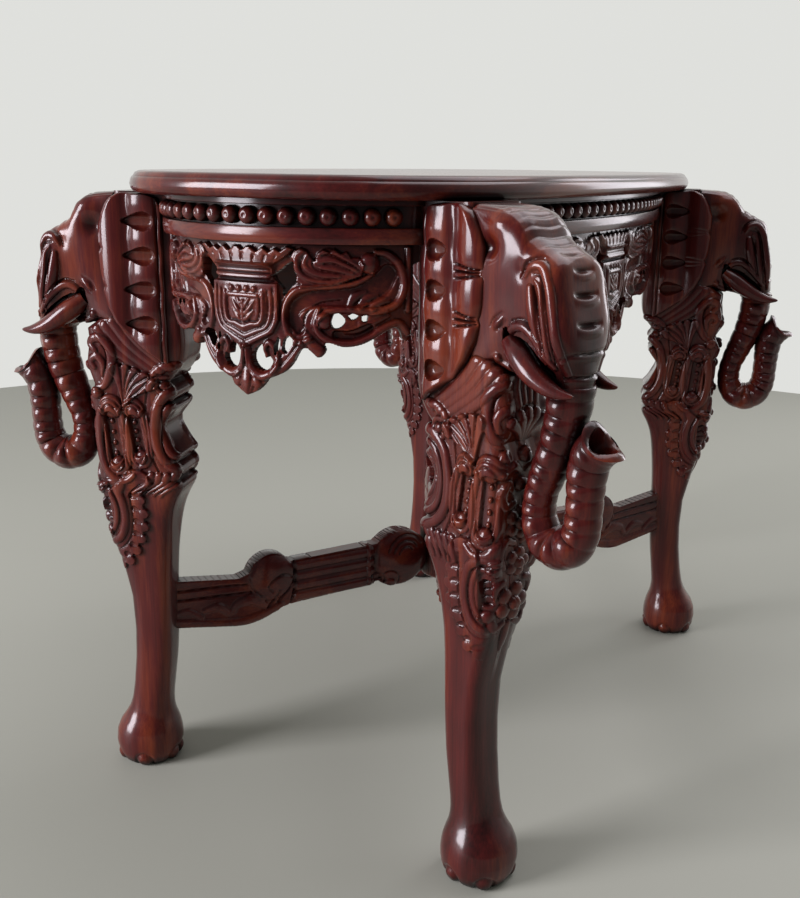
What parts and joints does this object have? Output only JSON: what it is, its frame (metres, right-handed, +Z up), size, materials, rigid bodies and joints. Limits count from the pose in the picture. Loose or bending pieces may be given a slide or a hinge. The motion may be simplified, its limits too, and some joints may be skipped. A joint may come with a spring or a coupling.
{
  "type": "carved hall table",
  "caption": "Free-standing oval hall table in dark lacquered wood on carved elephant legs, with pierced bowed aprons, bead mouldings and a scrolled cross stretcher.",
  "frame": {"origin": "on the floor under the middle of the table top", "axes": "+X along the table's long side, +Y across it, +Z up"},
  "size_m": [1.0201, 0.7976, 0.78],
  "materials": {
    "lacquered_top": "gloss lacquer",
    "lacquered_carving": "gloss lacquer",
    "plain_softwood": "matte",
    "screw_steel": "brushed"
  },
  "bodies": {
    "root": {"table_top": "lacquered_top", "leg_post_left_back": "lacquered_carving", "elephant_head_left_back": "lacquered_carving", "elephant_trunk_left_back": "lacquered_carving", "ear_left_left_back": "lacquered_carving", "tusk_left_left_back": "lacquered_carving", "ear_right_left_back": "lacquered_carving", "tusk_right_left_back": "lacquered_carving", "stretcher_arm_left_back": "lacquered_carving", "corner_block_left_back": "plain_softwood", "leg_post_left_front": "lacquered_carving", "elephant_head_left_front": "lacquered_carving", "elephant_trunk_left_front": "lacquered_carving", "ear_left_left_front": "lacquered_carving", "tusk_left_left_front": "lacquered_carving", "ear_right_left_front": "lacquered_carving", "tusk_right_left_front": "lacquered_carving", "stretcher_arm_left_front": "lacquered_carving", "corner_block_left_front": "plain_softwood", "leg_post_right_front": "lacquered_carving", "elephant_head_right_front": "lacquered_carving", "elephant_trunk_right_front": "lacquered_carving", "ear_left_right_front": "lacquered_carving", "tusk_left_right_front": "lacquered_carving", "ear_right_right_front": "lacquered_carving", "tusk_right_right_front": "lacquered_carving", "stretcher_arm_right_front": "lacquered_carving", "corner_block_right_front": "plain_softwood", "leg_post_right_back": "lacquered_carving", "elephant_head_right_back": "lacquered_carving", "elephant_trunk_right_back": "lacquered_carving", "ear_left_right_back": "lacquered_carving", "tusk_left_right_back": "lacquered_carving", "ear_right_right_back": "lacquered_carving", "tusk_right_right_back": "lacquered_carving", "stretcher_arm_right_back": "lacquered_carving", "corner_block_right_back": "plain_softwood", "apron_rail_end_right": "lacquered_carving", "bead_strip_end_right": "lacquered_carving", "crest_panel_end_right": "lacquered_carving", "apron_rail_side_back": "lacquered_carving", "bead_strip_side_back": "lacquered_carving", "crest_panel_side_back": "lacquered_carving", "apron_rail_end_left": "lacquered_carving", "bead_strip_end_left": "lacquered_carving", "crest_panel_end_left": "lacquered_carving", "apron_rail_side_front": "lacquered_carving", "bead_strip_side_front": "lacquered_carving", "crest_panel_side_front": "lacquered_carving", "stretcher_hub": "lacquered_carving", "head_dowels": "plain_softwood", "trunk_dowels": "plain_softwood", "top_screws": "screw_steel", "corner_block_screws": "screw_steel"}
  },
  "joints": []
}
